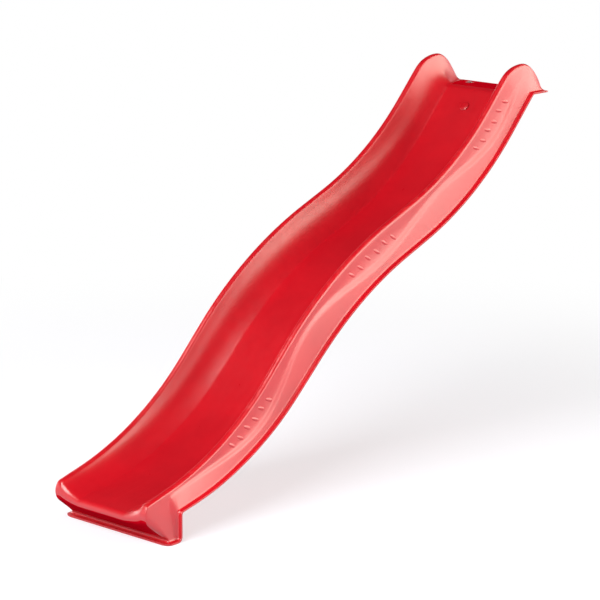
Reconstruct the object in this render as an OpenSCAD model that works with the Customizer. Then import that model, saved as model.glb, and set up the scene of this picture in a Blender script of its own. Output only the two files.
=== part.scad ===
// Wave slide with its top flange 1.2 m up: a twin-skin moulded chute with its eyelets and water fitting.
// Frame: +Y up the slide, +Z up, X across, origin on the ground under the middle of the foot.

/* [Top flange] */
// Height of the flange's underside above the ground
deck_h = 1200; // [1150:1:1260]
// Depth of the flat flange behind the top bend
flange_d = 92; // [80:1:120]

/* [Path of the bed] */
// Height of the bed above the ground at the nose
exit_h = 96; // [85:1:120]
// Slope of the run-out
exit_slope = 10; // [8:0.5:12]
// Slope of the lower steep stretch
steep_slope = 44; // [41:0.5:47]
// Slope on the flat of the wave
wave_slope = 22; // [19:0.5:25]
// Slope of the upper steep stretch
top_slope = 47; // [44.5:0.5:49.5]
// Length of the straight run-out
exit_l = 95; // [75:1:120]
// Radius of the run-out curve
exit_r = 1000; // [930:5:1070]
// Radius of the hump
hump_r = 1360; // [1260:5:1460]
// Length of the straight on the flat of the wave
wave_l = 120; // [80:1:160]
// Radius of the hollow above the wave
valley_r = 1210; // [1110:5:1310]
// Radius of the bend into the flange
top_r = 45; // [38:1:55]

/* [Cross-section] */
// Width of the flat bed
bed_w = 195; // [180:1:212]
// Width of the flat bed above the hollow, where the chute opens out
top_bed_w = 226; // [206:1:240]
// Width of the flat at the end of the flange, between the ends of the ears
flange_bed_w = 300; // [280:1:316]
// Radius where the bed turns up into the side walls
bed_edge_r = 20; // [14:1:28]
// Slope of the side walls at their foot, from level
wall_foot_slope = 33; // [28:0.5:38]
// Slope of the side walls under the rim, from level
wall_slope = 73; // [68:0.5:78]
// Distance between the middles of the two rolled rims
rim_w = 383; // [370:1:394]
// Height of the rim above the bed
wall_h = 106; // [98:1:120]
// Radius of the rolled rim
rim_r = 12.5; // [10:0.5:15]
// Width over the skirts where they meet the edge lip
skirt_w = 441; // [433:1:457]
// Width of the flat edge lip
lip_w = 16; // [13:1:20]
// Radius between skirt and edge lip
lip_fillet_r = 8; // [5:0.5:10]
// Drop from bed to edge lip over the wave and above
lip_drop = 20.5; // [18:0.5:26]
// Drop from bed to edge lip on the run-out
exit_lip_drop = 13; // [11:1:17]
// Wall of the upper skin
skin_t = 3.5; // [2.5:0.1:4.5]

/* [Ends] */
// Height of the ears above the flange
ear_h = 99; // [82:1:116]
// Height of the rims above the bed at the nose
nose_rim_h = 42; // [34:1:56]
// Length over which the rims rise from the nose to full height
rim_rise_l = 930; // [760:10:1100]
// Radius of the nose roll
nose_r = 18; // [14:0.5:22]
// Reach of the nose beyond the front lip of the foot
nose_reach = 61; // [48:1:72]
// Length of the foot on the ground
foot_l = 64; // [56:1:80]
// Radius where the slope's lip turns down the back of the foot
foot_bend_r = 15; // [11:0.5:20]
// Radius of the heel at the bottom of the foot
heel_r = 12; // [8:0.5:14]
// Length of the rounded front corners of the foot
corner_l = 22; // [16:1:26]

/* [Skirt swage] */
// Step of the wave swage on the skirts
swage_h = 4.5; // [1:0.5:6]
// Length of one wave of the swage
swage_pitch = 727; // [520:1:900]
// Distance from the nose to the first low point of the swage
swage_start = 520; // [430:1:740]

/* [Under skin] */
// Wall of the under skin
under_t = 3; // [2:0.1:4]
// Rise of the pan above the edge lip
pan_h = 6; // [4:0.5:8]
// Width of the pan
pan_w = 396; // [370:1:410]
// Length of the tack-off ribs across the slide
rib_l = 180; // [120:1:240]
// Width of a rib's crest
rib_w = 16; // [10:1:22]
// Run of a rib's flank
rib_flank = 9; // [6:0.5:12]
// Clearance between a rib's crest and the upper skin
rib_clear = 0.3; // [0.1:0.1:1]
// Clearance left at the welded edge lip
weld_clear = 0.1; // [0.05:0.05:0.3]

/* [Flange eyelets] */
// Distance between the two eyelets
eyelet_pitch = 170; // [120:1:200]
// Bore of an eyelet
eyelet_bore = 6.5; // [5:0.1:8.5]
// Wall of an eyelet's barrel
eyelet_wall = 2; // [1.5:0.1:3]
// Overhang of an eyelet's head
eyelet_brim = 4; // [3:0.5:6]
// Thickness of an eyelet's head
eyelet_head_t = 2; // [1.5:0.1:3]
// Clearance round an eyelet's barrel
eyelet_clear = 0.15; // [0.05:0.05:0.4]

/* [Water fitting] */
// Diameter of the jet's stem
stem_d = 21; // [18:0.5:24]
// Bore of the water way
water_d = 9; // [7:0.5:11]
// Clearance round the stem
stem_clear = 0.2; // [0.1:0.05:0.5]
// Overhang of the jet's head
jet_brim = 7; // [5:0.5:10]
// Height of the jet's head
jet_h = 4; // [3.5:0.5:8]
// Diameter of the jet's three outlets
outlet_d = 2; // [1.5:0.5:2.5]
// Wall of the spacer between the skins
spacer_wall = 4; // [3:0.5:6]
// Thickness of the rubber seals
seal_t = 2; // [1.5:0.5:3]
// Distance of the rubber seals inside the edge of the jet's head
seal_inset = 1; // [0.5:0.5:2]
// Height of the lock nut
nut_h = 10; // [8:0.5:14]
// Width across the lock nut's flats beyond the stem
nut_wall = 4.5; // [4:0.5:7]
// Length of the nipple's socket on the stem
socket_l = 14; // [11:0.5:18]
// Wall of the nipple's socket
socket_wall = 3.5; // [3:0.5:5]
// Diameter of the nipple's spigot
spigot_d = 17; // [15:0.5:19]
// Length of the nipple's spigot
spigot_l = 22; // [20:1:28]
// Width of the flat seal in the nipple's socket
socket_seal_w = 4; // [3:0.5:5]

/* [Hidden] */
$fn = 64;

// plane helpers: points are [y, z], headings run uphill
function mix(a, b, t) = a + (b - a) * t;
function smooth(t) = let (u = max(0, min(1, t))) u * u * (3 - 2 * u);
function head(a) = [cos(a), sin(a)];
function perp(a) = [-sin(a), cos(a)];
function arc_to(p, r, a0, a1) = p + sign(a1 - a0) * r * [sin(a1) - sin(a0), cos(a0) - cos(a1)];
function arc_l(r, a0, a1) = r * abs(a1 - a0) * PI / 180;

// path of the bed, from the nose up to the flange; the two steep straights share the height that is left
lip_t = skin_t + under_t + weld_clear;
flange_z = deck_h + lip_t;
roll_c = [nose_r - foot_l / 2 - nose_reach, exit_h - nose_r * cos(exit_slope)];
arcs_rise = exit_l * sin(exit_slope) + wave_l * sin(wave_slope)
    + exit_r * (cos(exit_slope) - cos(steep_slope)) + hump_r * (cos(wave_slope) - cos(steep_slope))
    + valley_r * (cos(wave_slope) - cos(top_slope)) + top_r * (1 - cos(top_slope));
steep_rise = (flange_z - exit_h - arcs_rise) / 2;
steep_l = steep_rise / sin(steep_slope);
top_l = steep_rise / sin(top_slope);
p0 = roll_c + nose_r * perp(exit_slope);
p1 = p0 + exit_l * head(exit_slope);
p2 = arc_to(p1, exit_r, exit_slope, steep_slope);
p3 = p2 + steep_l * head(steep_slope);
p4 = arc_to(p3, hump_r, steep_slope, wave_slope);
p5 = p4 + wave_l * head(wave_slope);
p6 = arc_to(p5, valley_r, wave_slope, top_slope);
p7 = p6 + top_l * head(top_slope);
p8 = arc_to(p7, top_r, top_slope, 0);
s1 = exit_l;
s2 = s1 + arc_l(exit_r, exit_slope, steep_slope);
s3 = s2 + steep_l;
s4 = s3 + arc_l(hump_r, steep_slope, wave_slope);
s5 = s4 + wave_l;
s6 = s5 + arc_l(valley_r, wave_slope, top_slope);
s7 = s6 + top_l;

// rim height and drop of the edge lip at a distance s from the nose
function rim_h(s) = mix(nose_rim_h, wall_h, sin(90 * min(1, s / rim_rise_l)));
function drop(s) = mix(exit_lip_drop, lip_drop, smooth((s - s2 / 2) / (s2 - s1)));

// stations: [bed point, heading, rim height, lip point, lip heading, distance from nose, lip fillet]
function slope_row(p, a, s) = [p, a, rim_h(s), p - drop(s) * perp(a), a, s, lip_fillet_r];
function arc_rows(p, r, a0, a1, s, n) = [for (i = [n:-1:1]) let (a = mix(a0, a1, i / n))
    slope_row(arc_to(p, r, a0, a), a, s + arc_l(r, a0, a))];

// flange and top bend: the lip climbs straight on until it is level with the flange
ear_blunt = 0.7;
lip7 = p7 - drop(s7) * perp(top_slope);
climb_l = (flange_z - lip7[1]) / sin(top_slope);
knee_r = top_r / 3;
knee_l = knee_r * tan(top_slope / 2);
knee0 = lip7 + (climb_l - knee_l) * head(top_slope);
knee1 = arc_to(knee0, knee_r, top_slope, 0);
flange_end = [p8[0] + flange_d, flange_z];
function ear(t) = ear_h * pow(max(0, cos(90 * t)), ear_blunt);
flange_n = 5;
bend_n = 3;
flange_rows = [for (i = [flange_n:-1:1]) let (t = sin(90 * i / flange_n))
    [mix(p8, flange_end, t), 0, ear(t), mix(knee1, flange_end, (i - 1) / (flange_n - 1)), 0,
     s7 + top_r + t * flange_d, lip_fillet_r * smooth(ear(t) / ear_h * 4)]];
bend_rows = [for (i = [0:bend_n - 1]) let (u = i / bend_n, a = top_slope * u,
        lip = i == 0 ? arc_to(knee0, knee_r, top_slope, top_slope / 2)
            : mix(knee0, lip7, (i - 1) / (bend_n - 1)))
    [arc_to(p7, top_r, top_slope, a), a, mix(ear(0), rim_h(s7), smooth(u)), lip,
     i == 0 ? top_slope / 2 : top_slope, s7 + arc_l(top_r, 0, top_slope - a), lip_fillet_r]];

// foot: the lip turns down the heel, round it and forward along the ground
heel_y = foot_l / 2 - lip_t;
heel_run = 14;
foot_y = heel_y + 2 * foot_bend_r + heel_run;
foot_a = asin(sin(exit_slope) + (foot_y - p1[0]) / exit_r);
foot_s = s1 + arc_l(exit_r, exit_slope, foot_a);
foot_p = arc_to(p1, exit_r, exit_slope, foot_a);
foot_lip = foot_p - drop(foot_s) * perp(foot_a);
foot_k = foot_lip + (heel_y - foot_lip[0]) / cos(foot_a) * head(foot_a);
turn_l = foot_bend_r * tan(45 - foot_a / 2);
corner_y = corner_l - foot_l / 2;
foot_n = 8;
foot_lips = [[foot_lip, foot_a], [foot_k + turn_l * head(foot_a), foot_a],
    [arc_to(foot_k - [0, turn_l], foot_bend_r, 90, 45 + foot_a / 2), 45 + foot_a / 2],
    [foot_k - [0, turn_l], 90], [[heel_y, lip_t + heel_r], 90],
    [[heel_y - heel_r, lip_t + heel_r] + heel_r * [sin(45), -cos(45)], 45],
    [[heel_y - heel_r, lip_t], 0], [[mix(heel_y - heel_r, corner_y, 0.5), lip_t], 0], [[corner_y, lip_t], 0]];
foot_rows = [for (i = [0:foot_n]) let (s = foot_s * (1 - i / foot_n),
        a = s > s1 ? exit_slope + (s - s1) / exit_r * 180 / PI : exit_slope,
        p = s > s1 ? arc_to(p1, exit_r, exit_slope, a) : p0 + s * head(exit_slope))
    [p, a, rim_h(s), foot_lips[i][0], foot_lips[i][1], s, lip_fillet_r]];

arc_n = 7;
rows = concat(flange_rows, bend_rows, [slope_row(p7, top_slope, s7)],
    arc_rows(p5, valley_r, wave_slope, top_slope, s5, arc_n), [slope_row(p5, wave_slope, s5)],
    arc_rows(p3, hump_r, steep_slope, wave_slope, s3, arc_n), [slope_row(p3, steep_slope, s3)],
    arc_rows(foot_p, exit_r, foot_a, steep_slope, foot_s, arc_n), foot_rows);

// half cross-section of the channel: [x, height above bed] from the middle out to the rim's outer shoulder
rim_c = [rim_w / 2, wall_h - rim_r];
wall_p = [bed_w / 2 + bed_edge_r * sin(wall_foot_slope), bed_edge_r * (1 - cos(wall_foot_slope))];
wall_q = rim_c + rim_r * perp(wall_slope);
wall_pull = 0.36 * norm(wall_q - wall_p);
wall_p1 = wall_p + wall_pull * head(wall_foot_slope);
wall_q1 = wall_q - wall_pull * head(wall_slope);
function wall_pt(t) = let (u = 1 - t) u * u * u * wall_p + 3 * t * u * u * wall_p1 + 3 * t * t * u * wall_q1
    + t * t * t * wall_q;
section = concat([for (i = [0:2]) [bed_w / 4 * i, 0]],
    [for (i = [1:2]) let (a = wall_foot_slope * i / 2)
        [bed_w / 2 + bed_edge_r * sin(a), bed_edge_r * (1 - cos(a))]],
    [for (i = [1:3]) wall_pt(i / 4)],
    [for (i = [0:4]) let (a = mix(-wall_slope, 85, i / 4)) rim_c + rim_r * [sin(a), cos(a)]]);
in_n = len(section) - 1;
// the bed widens through the hollow and on the flange, and the walls take this up on their way to the rims
function widening(s) = (top_bed_w - bed_w) / 2 * smooth((s - s5) / (s6 - s5))
    + (flange_bed_w - top_bed_w) / 2 * smooth((s - s7) / (top_r + flange_d));
function section_x(k, s) = section[k][0]
    + widening(s) * min(1, section[k][0] * 2 / bed_w) * pow(max(0, 1 - section[k][1] / wall_q[1]), 2);
skirt_n = 7;
out_n = skirt_n + 3;
half_n = in_n + out_n;
edge_x = skirt_w / 2 + lip_w;

// step of the swage at a share t of the skirt's height, which fades at the nose and the ear
swage_high = 0.2;
swage_low = 0.72;
swage_soft = 0.05;
swage_run = 150;
function swage_line(s) = mix(swage_high, swage_low, 0.5 + 0.5 * cos(360 * (s - swage_start) / swage_pitch));
function swage_fade(s) = smooth((s - s1 / 2) / swage_run) * smooth((s7 + swage_run / 2 - s) / swage_run);
function swage(t, s) = swage_h * sin(180 * t) * smooth((t - swage_line(s)) / swage_soft / 2 + 0.5)
    * swage_fade(s);
// share of the skirt's height at column j: three columns follow the swage; at the nose all match the front
function swage_col(j, s) = let (m = swage_line(s))
    j < 2 ? (m - swage_soft) * j / 2 : j < 5 ? m + swage_soft * (j - 3)
    : mix(m + swage_soft, 1, (j - 4) / (skirt_n - 4));
function nose_col(j) = j <= roll_n ? roll_share * j / roll_n : mix(roll_share, 1, (j - roll_n) / recess_n);
function skirt_col(j, s) = mix(nose_col(j), swage_col(j, s), smooth((s - s1 / 2) / swage_run));

// point k of a main row, 0 in the middle and half_n at the edge of the lip
function rim_pt(row, k) = let (q = row[0] + row[2] * section[k][1] / wall_h * perp(row[1]))
    [section_x(k, row[5]), q[0], q[1]];
function lip_pt(row, x, n) = let (q = row[3] + n * perp(row[4])) [x, q[0], q[1]];
function main_pt(row, k) = k <= in_n ? rim_pt(row, k)
    : let (j = k - in_n, f = row[6], x1 = skirt_w / 2, t = skirt_col(min(j, skirt_n), row[5]))
        j <= skirt_n ? mix(rim_pt(row, in_n), lip_pt(row, x1, f), t) + [swage(t, row[5]), 0, 0]
        : j == skirt_n + 1 ? lip_pt(row, x1 + lip_fillet_r * (1 - cos(45)), f * (1 - sin(45)))
        : lip_pt(row, j == out_n ? edge_x : x1 + lip_fillet_r, 0);

// rows round the nose, straight back under it and out to the front lip: [point, height of the rim there]
roll_n = 4;
brow_end = 0.27;
recess_y = lip_w - foot_l / 2;
front_c = [recess_y - lip_fillet_r, lip_t + lip_fillet_r];
recess_p = front_c + [lip_fillet_r, 0];
reach = roll_c - recess_p;
roll_a = atan2(reach[1], reach[0]) + asin(nose_r / norm(reach));
roll_end = roll_c + nose_r * perp(roll_a);
roll_l = arc_l(nose_r, exit_slope, roll_a);
roll_share = roll_l / (roll_l + norm(roll_end - recess_p));
recess_n = skirt_n - roll_n;
front_rows = concat(
    [for (i = [1:roll_n]) let (a = mix(exit_slope, roll_a, i / roll_n))
        [roll_c + nose_r * perp(a), nose_rim_h * mix(1, brow_end, i / roll_n)]],
    [for (i = [1:recess_n]) let (t = i / recess_n)
        [mix(roll_end, recess_p, t), nose_rim_h * brow_end * (1 - t)]],
    [for (p = [front_c + lip_fillet_r * [cos(45), -sin(45)], front_c - [0, lip_fillet_r],
               [-foot_l / 2, lip_t]]) [p, 0]]);
last_row = rows[len(rows) - 1];
function nose_pt(i, k) = let (f = front_rows[i - 1],
        q = f[0] + f[1] * section[k][1] / wall_h * perp(exit_slope))
    [section[k][0], q[0], q[1]];
// the skirt and the front run into each other round the foot's corners
function front_pt(i, k) = k <= in_n ? nose_pt(i, k)
    : let (j = k - in_n, m = max(i, j), t = i / (i + j), a = main_pt(last_row, in_n + m),
           c = nose_pt(m, in_n), b = [a[0], c[1], (a[2] + c[2]) / 2])
        (1 - t) * (1 - t) * a + 2 * t * (1 - t) * b + t * t * c;

function flip(p, k) = k < 0 ? [-p[0], p[1], p[2]] : p;
main_n = len(rows);
row_n = main_n + len(front_rows);
col_n = 2 * half_n + 1;
outer = [for (r = [0:row_n - 1]) [for (k = [-half_n:half_n])
    flip(r < main_n ? main_pt(rows[r], abs(k)) : front_pt(r - main_n + 1, abs(k)), k)]];
function unit(v) = v / norm(v);
function on_lip(r, k) = k > half_n - 2 || r > row_n - 3;
function lip_normal(r) = r < main_n ? let (n = perp(rows[r][4])) [0, n[0], n[1]] : [0, 0, 1];
function normal(r, c) = on_lip(r, abs(c - half_n)) ? lip_normal(r)
    : unit(cross(outer[min(r + 1, row_n - 1)][c] - outer[max(r - 1, 0)][c],
        outer[r][c + 1] - outer[r][c - 1]));
inner = [for (r = [0:row_n - 1]) [for (c = [0:col_n - 1]) outer[r][c] - skin_t * normal(r, c)]];

// closed sheet between two grids of points, the first one facing up
module sheet(up, down) {
    rn = len(up);
    cn = len(up[0]);
    o = rn * cn;
    function id(r, c) = r * cn + c;
    quads = [for (r = [0:rn - 2], c = [0:cn - 2]) [id(r, c), id(r, c + 1), id(r + 1, c + 1), id(r + 1, c)]];
    tris = [for (i = [0:len(quads) - 1]) let (q = quads[i])
        each (i % (cn - 1) * 2 < cn - 1 ? [[q[0], q[1], q[3]], [q[1], q[2], q[3]]]
            : [[q[0], q[1], q[2]], [q[0], q[2], q[3]]])];
    rim = concat([for (c = [0:cn - 1]) id(0, c)], [for (r = [1:rn - 1]) id(r, cn - 1)],
        [for (c = [cn - 2:-1:0]) id(rn - 1, c)], [for (r = [rn - 2:-1:1]) id(r, 0)]);
    edge = [for (i = [0:len(rim) - 1]) let (p = rim[i], q = rim[(i + 1) % len(rim)])
        each [[q, p, p + o], [q, p + o, q + o]]];
    polyhedron(points = [for (g = [up, down], r = g) each r],
        faces = concat(tris, [for (t = tris) [t[2] + o, t[1] + o, t[0] + o]], edge), convexity = 10);
}

// under skin: rows along the lip, [inner point, outer point, normal, pan rise, rib rise, share of full width]
function pan_row(r) = let (n = perp(rows[r][4]), q = rows[r][3] - (skin_t + weld_clear) * n)
    [q, q - under_t * n, n, r >= slope_0 && r <= slope_1 ? pan_h : 0, 0, 1];
slope_0 = flange_n + bend_n;
slope_1 = main_n - 1 - foot_n;
function has_rib(r) = r > slope_0 && r < slope_1 && (r - slope_0) % 2 == 0;
function rib_rows(r) = let (a = pan_row(r), b = pan_row(r + 1), l = norm(b[0] - a[0]),
        n = perp((rows[r][4] + rows[r + 1][4]) / 2),
        rise = norm((rows[r][0] + rows[r + 1][0] - rows[r][3] - rows[r + 1][3]) / 2) + weld_clear - rib_clear)
    [for (e = [-1, 1], i = e < 0 ? [0, 1] : [1, 0])
        let (t = 0.5 + e * (rib_w / 2 + rib_flank * (1 - i)) / l)
        [mix(a[0], b[0], t), mix(a[1], b[1], t), n, pan_h, i == 1 ? rise : pan_h, 1]];
toe_n = 4;
toe_rows = [for (i = [1:toe_n]) let (t = i / toe_n, y = mix(corner_y, -foot_l / 2, 1 - (1 - t) * (1 - t)))
    [[y, under_t], [y, 0], [0, 1], 0, 0, mix(edge_x, section[in_n][0], t * t) / edge_x]];
pan_rows = concat([for (r = [0:main_n - 1]) each concat([pan_row(r)], has_rib(r) ? rib_rows(r) : [])],
    toe_rows);
// columns: [x, 0 lip, 1 pan or 2 rib]
pan_half = [[0, 2], [rib_l / 2 - rib_flank, 2], [rib_l / 2, 1], [pan_w / 2 - pan_h, 1], [pan_w / 2, 0],
    [edge_x, 0]];
pan_cols = [for (i = [-5:5]) [sign(i) * pan_half[abs(i)][0], pan_half[abs(i)][1]]];
function pan_pt(row, side, col) = let (up = col[1] == 0 ? 0 : col[1] == 1 || row[4] == 0 ? row[3] : row[4],
        q = row[side] + up * row[2])
    [col[0] * row[5], q[0], q[1]];

// levels of the water fitting along its own axis, square to the bed in the middle of the upper straight
jet_p = (p6 + p7) / 2;
pan_in = lip_drop + skin_t + weld_clear - pan_h;
pan_out = pan_in + under_t;
nut_z = -pan_out - seal_t;
socket_z = nut_z - nut_h;
stem_z = socket_z - socket_l + seal_t;
web_t = 3;
spigot_chamfer = 1.5;
socket_chamfer = 1;
spigot_z = socket_z - socket_l - web_t;
hole_d = stem_d + 2 * stem_clear;
seal_w = jet_brim - stem_clear - seal_inset;
module at_jet() translate([0, jet_p[0], jet_p[1]]) rotate([top_slope, 0, 0]) children();
module at_eyelet(side) translate([side * eyelet_pitch / 2, (knee1[0] + flange_end[0]) / 2, 0]) children();
module skin_holes() {
    for (side = [-1, 1]) at_eyelet(side) translate([0, 0, deck_h - lip_t])
        cylinder(d = eyelet_bore + 2 * eyelet_wall + 2 * eyelet_clear, h = 3 * lip_t);
    at_jet() translate([0, 0, nut_z]) cylinder(d = hole_d, h = pan_out + 2 * seal_t);
}

// upper skin: bed, walls, rims, ears, skirts, nose and foot in one moulded sheet
module chute_skin() {
    color([0.78, 0.05, 0.08]) difference() {
        sheet(outer, inner);
        skin_holes();
    }
}

// under skin: pan with tack-off ribs, welded to the edge lip all round
module under_skin() {
    color([0.62, 0.03, 0.06]) difference() {
        sheet([for (r = pan_rows) [for (c = pan_cols) pan_pt(r, 0, c)]],
            [for (r = pan_rows) [for (c = pan_cols) pan_pt(r, 1, c)]]);
        skin_holes();
    }
}

// flanged eyelet that carries a screw through both skins
module eyelet(side) {
    r0 = eyelet_bore / 2;
    r1 = r0 + eyelet_wall;
    at_eyelet(side) rotate_extrude() polygon([[r0, deck_h], [r1, deck_h], [r1, flange_z],
        [r1 + eyelet_brim, flange_z], [r1 + eyelet_brim, flange_z + eyelet_head_t / 2],
        [r1 + eyelet_brim - eyelet_head_t / 2, flange_z + eyelet_head_t], [r0, flange_z + eyelet_head_t]]);
}
module eyelet_left() color([0.8, 0.8, 0.78]) eyelet(-1);
module eyelet_right() color([0.8, 0.8, 0.78]) eyelet(1);

// jet: low round head on the bed with three outlets downhill, and its hollow stem
module jet() {
    r = stem_d / 2 + jet_brim;
    top = seal_t + jet_h;
    color([0.7, 0.04, 0.07]) at_jet() difference() {
        rotate_extrude() polygon([[0, stem_z], [stem_d / 2, stem_z], [stem_d / 2, seal_t], [r, seal_t],
            [r, seal_t + jet_h / 4], [r - jet_brim / 4, seal_t + jet_h * 0.6],
            [r - jet_brim, top - jet_h / 16], [0, top]]);
        translate([0, 0, stem_z - 1])
            cylinder(d = water_d, h = seal_t + jet_h / 2 + outlet_d / 2 - stem_z + 1);
        for (a = [-25, 0, 25]) translate([0, 0, seal_t + jet_h / 2]) rotate([90, 0, a])
            cylinder(d = outlet_d, h = r + 1);
    }
}

module ring(d, w, z, h) translate([0, 0, z]) difference() {
    cylinder(d = d + 2 * w, h = h);
    translate([0, 0, -1]) cylinder(d = d, h = h + 2);
}
module jet_seal() color([0.12, 0.12, 0.12]) at_jet() ring(hole_d, seal_w, 0, seal_t);
module jet_spacer() color([0.85, 0.85, 0.82]) at_jet()
    ring(hole_d, spacer_wall, weld_clear - pan_in, pan_in - skin_t - 2 * weld_clear);
module lock_seal() color([0.12, 0.12, 0.12]) at_jet() ring(hole_d, seal_w, nut_z, seal_t);

// hexagon lock nut on the stem
module lock_nut() {
    color([0.2, 0.2, 0.21]) at_jet() translate([0, 0, socket_z]) difference() {
        intersection() {
            cylinder(d = (hole_d + 2 * nut_wall) / cos(30), h = nut_h, $fn = 6);
            rotate_extrude() polygon([[0, 0], [hole_d / 2 + nut_wall, 0],
                [hole_d / 2 + nut_wall + nut_h / 4, nut_h / 6], [hole_d / 2 + nut_wall + nut_h / 4, nut_h],
                [0, nut_h]]);
        }
        translate([0, 0, -1]) cylinder(d = hole_d, h = nut_h + 2);
    }
}

// hose nipple: socket on the stem, web and spigot for a push-on hose coupling
module hose_nipple() {
    r0 = hole_d / 2;
    r1 = r0 + socket_wall;
    r2 = spigot_d / 2;
    z0 = socket_z - weld_clear;
    z1 = socket_z - socket_l;
    z3 = spigot_z - spigot_l;
    color([0.25, 0.26, 0.27]) at_jet() rotate_extrude() polygon([[r0, z0], [r1 - socket_chamfer, z0],
        [r1, z0 - socket_chamfer], [r1, spigot_z + web_t], [r1 - web_t, spigot_z], [r2, spigot_z],
        [r2, z3 + spigot_chamfer], [r2 - spigot_chamfer, z3],
        [water_d / 2, z3], [water_d / 2, z1], [r0, z1]]);
}
// flat seal at the bottom of the nipple's socket, pressed by the end of the stem
module nipple_seal() color([0.12, 0.12, 0.12]) at_jet()
    ring(stem_d - 2 * socket_seal_w, socket_seal_w, stem_z - seal_t, seal_t);

chute_skin();
under_skin();
eyelet_left();
eyelet_right();
jet();
jet_seal();
jet_spacer();
lock_seal();
lock_nut();
hose_nipple();
nipple_seal();
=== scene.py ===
import math
from collections import namedtuple
from types import SimpleNamespace

import bmesh
import bpy
from mathutils import Matrix, Vector


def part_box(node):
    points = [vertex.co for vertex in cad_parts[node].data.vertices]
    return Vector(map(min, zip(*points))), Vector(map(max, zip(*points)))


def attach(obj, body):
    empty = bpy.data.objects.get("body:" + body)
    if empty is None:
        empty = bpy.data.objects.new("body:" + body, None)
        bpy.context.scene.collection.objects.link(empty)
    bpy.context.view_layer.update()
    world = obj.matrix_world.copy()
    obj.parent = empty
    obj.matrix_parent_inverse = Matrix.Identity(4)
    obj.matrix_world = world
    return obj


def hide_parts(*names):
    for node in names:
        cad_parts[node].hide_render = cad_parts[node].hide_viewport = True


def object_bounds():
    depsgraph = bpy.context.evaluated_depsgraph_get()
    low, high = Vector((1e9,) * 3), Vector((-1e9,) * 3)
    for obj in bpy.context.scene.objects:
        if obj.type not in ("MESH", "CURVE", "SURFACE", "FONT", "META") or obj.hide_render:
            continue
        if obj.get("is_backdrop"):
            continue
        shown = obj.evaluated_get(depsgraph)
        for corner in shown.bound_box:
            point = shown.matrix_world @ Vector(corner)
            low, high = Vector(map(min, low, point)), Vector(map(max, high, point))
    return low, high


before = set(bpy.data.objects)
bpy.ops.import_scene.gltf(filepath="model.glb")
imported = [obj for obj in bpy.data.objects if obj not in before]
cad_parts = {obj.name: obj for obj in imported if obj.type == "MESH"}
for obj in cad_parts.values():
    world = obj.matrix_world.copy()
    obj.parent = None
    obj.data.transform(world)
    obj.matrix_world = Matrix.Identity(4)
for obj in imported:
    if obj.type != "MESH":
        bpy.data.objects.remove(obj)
cadLow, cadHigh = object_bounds()
print("frame loaded:", ", ".join(sorted(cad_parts)))

mm = 0.001  # pieces are worked out in mm and degrees, and made in metres


def sinD(a):
    return math.sin(math.radians(a))


def cosD(a):
    return math.cos(math.radians(a))


def mix(a, b, t):
    return a + (b - a) * t


def ease(t):
    t = max(0.0, min(1.0, t))
    return t * t * (3 - 2 * t)


def ahead(a):  # unit step uphill at a slope, in the (y, z) plane
    return Vector((cosD(a), sinD(a)))


def square(a):  # unit step away from the bed at a slope
    return Vector((-sinD(a), cosD(a)))


def arcTo(p, r, a0, a1):
    turn = 1 if a1 > a0 else -1
    return p + turn * r * Vector((sinD(a1) - sinD(a0), cosD(a0) - cosD(a1)))


def arcL(r, a0, a1):
    return r * math.radians(abs(a1 - a0))


# the chute: path of the bed, cross-section and ends
chute = dict(
    flangeH=1200, flangeD=92,  # height of the flange's underside, and depth of the flange
    exitH=96, exitSlope=10, steepSlope=44, waveSlope=22, topSlope=47,  # nose height, slopes from there up
    exitL=95, exitR=1000, humpR=1360, waveL=120, valleyR=1210, topR=45,  # straights and bends of the bed
    bedW=195, topBedW=226, flangeBedW=300, bedEdgeR=20,
    wallFootSlope=33, wallSlope=73, wallPull=0.36, rimW=383, wallH=106, rimR=12.5, rimTurn=85,
    skirtW=441, lipW=16, lipFilletR=8, lipFade=4, lipDrop=20.5, exitLipDrop=13,
    skinT=3.5, underT=3, weldClear=0.1,  # the two walls and the weld between their lips
    earH=99, earBlunt=0.7, noseRimH=42, rimRiseL=930,  # rims: ears at the top, low at the nose
    noseR=18, noseReach=61, browEnd=0.27,  # roll under the nose, and the share of the rim left below it
    footL=64, footBendR=15, heelR=12, heelRun=14, cornerL=22,
    swageH=4.5, swagePitch=727, swageStart=520, swageRun=150,  # the long wave line pressed into the skirts
    swageHigh=0.2, swageLow=0.72, swageSoft=0.1, drawnIn=0.9,
    rubReach=1.15,  # how far from the middle the bed is polished, in half widths
    dullFrom=0.65,  # share of the nose roll from which the skin under it is given no shine, as painted shade
    rowStep=28, frontStep=4,  # spacing of the mesh rows along the bed and down the front
)
c = SimpleNamespace(**chute)  # short for the sums below

lipT = c.skinT + c.underT + c.weldClear
flangeZ = c.flangeH + lipT
rollC = Vector((c.noseR - c.footL / 2 - c.noseReach, c.exitH - c.noseR * cosD(c.exitSlope)))
bends = [(c.exitR, c.exitSlope, c.steepSlope), (c.humpR, c.steepSlope, c.waveSlope),
         (c.valleyR, c.waveSlope, c.topSlope)]
bendRise = sum(r * abs(cosD(a0) - cosD(a1)) for r, a0, a1 in bends + [(c.topR, c.topSlope, 0)])
steepRise = (flangeZ - c.exitH - bendRise - c.exitL * sinD(c.exitSlope) - c.waveL * sinD(c.waveSlope)) / 2
bedPath = [  # length and slopes of each stretch, from the nose up
    (c.exitL, c.exitSlope, c.exitSlope),
    (arcL(*bends[0]), c.exitSlope, c.steepSlope),
    (steepRise / sinD(c.steepSlope), c.steepSlope, c.steepSlope),
    (arcL(*bends[1]), c.steepSlope, c.waveSlope),
    (c.waveL, c.waveSlope, c.waveSlope),
    (arcL(*bends[2]), c.waveSlope, c.topSlope),
    (steepRise / sinD(c.topSlope), c.topSlope, c.topSlope),
]
bedL = sum(stretch[0] for stretch in bedPath)
runOutEnd = bedPath[0][0] + bedPath[1][0]
hollowEnd = bedL - bedPath[6][0]


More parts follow.
